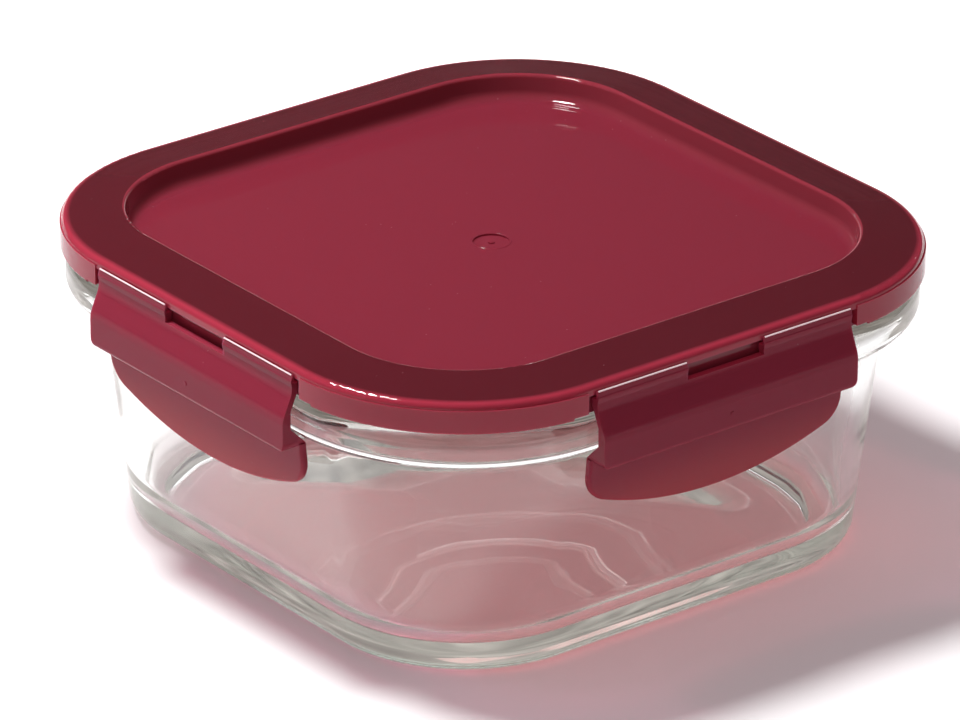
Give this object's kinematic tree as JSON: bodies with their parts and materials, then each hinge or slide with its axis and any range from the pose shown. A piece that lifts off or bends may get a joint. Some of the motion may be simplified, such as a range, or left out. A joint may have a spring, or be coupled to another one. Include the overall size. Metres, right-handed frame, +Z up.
{
  "type": "glass food storage container",
  "caption": "Square clear glass food box with rounded corners, a glossy burgundy snap-lock lid with a recessed panel, a silicone seal and side flaps on film hinges.",
  "frame": {"origin": "centre of the base, on the surface that the container stands on", "axes": "+Z up through the lid, -Y towards the front flap, +X towards the right flap"},
  "size_m": [0.1608, 0.1608, 0.0699],
  "materials": {
    "clear_glass": "clear pressed soda-lime glass with a faint green edge tint",
    "burgundy_plastic": "glossy burgundy polypropylene, slightly translucent at thin edges",
    "silicone": "soft milky silicone"
  },
  "bodies": {
    "glass": {"glass_container": "clear_glass"},
    "lid": {"lid": "burgundy_plastic", "silicone_gasket": "silicone", "hinge_web_front": "burgundy_plastic", "hinge_web_right": "burgundy_plastic", "hinge_web_back": "burgundy_plastic", "hinge_web_left": "burgundy_plastic"},
    "flap_front": {"flap_front": "burgundy_plastic"},
    "flap_right": {"flap_right": "burgundy_plastic"},
    "flap_back": {"flap_back": "burgundy_plastic"},
    "flap_left": {"flap_left": "burgundy_plastic"}
  },
  "joints": [
    {"name": "lid_lift", "type": "slide", "parent": "glass", "child": "lid", "axis": [0, 0, 1], "range_m": [0, 0.025]},
    {"name": "flap_front_swing", "type": "hinge", "parent": "lid", "child": "flap_front", "pos_m": [0, -0.07776, 0.06542], "axis": [-1, 0, 0], "range_deg": [0, 130]},
    {"name": "flap_right_swing", "type": "hinge", "parent": "lid", "child": "flap_right", "pos_m": [0.07776, 0, 0.06542], "axis": [0, -1, 0], "range_deg": [0, 130]},
    {"name": "flap_back_swing", "type": "hinge", "parent": "lid", "child": "flap_back", "pos_m": [0, 0.07776, 0.06542], "axis": [1, 0, 0], "range_deg": [0, 130]},
    {"name": "flap_left_swing", "type": "hinge", "parent": "lid", "child": "flap_left", "pos_m": [-0.07776, 0, 0.06542], "axis": [0, 1, 0], "range_deg": [0, 130]}
  ],
  "couplings": [
    {"joint": "flap_front_swing", "follows": "lid_lift", "rad_per_m": 90.747},
    {"joint": "flap_right_swing", "follows": "lid_lift", "rad_per_m": 90.747},
    {"joint": "flap_back_swing", "follows": "lid_lift", "rad_per_m": 90.747},
    {"joint": "flap_left_swing", "follows": "lid_lift", "rad_per_m": 90.747}
  ]
}
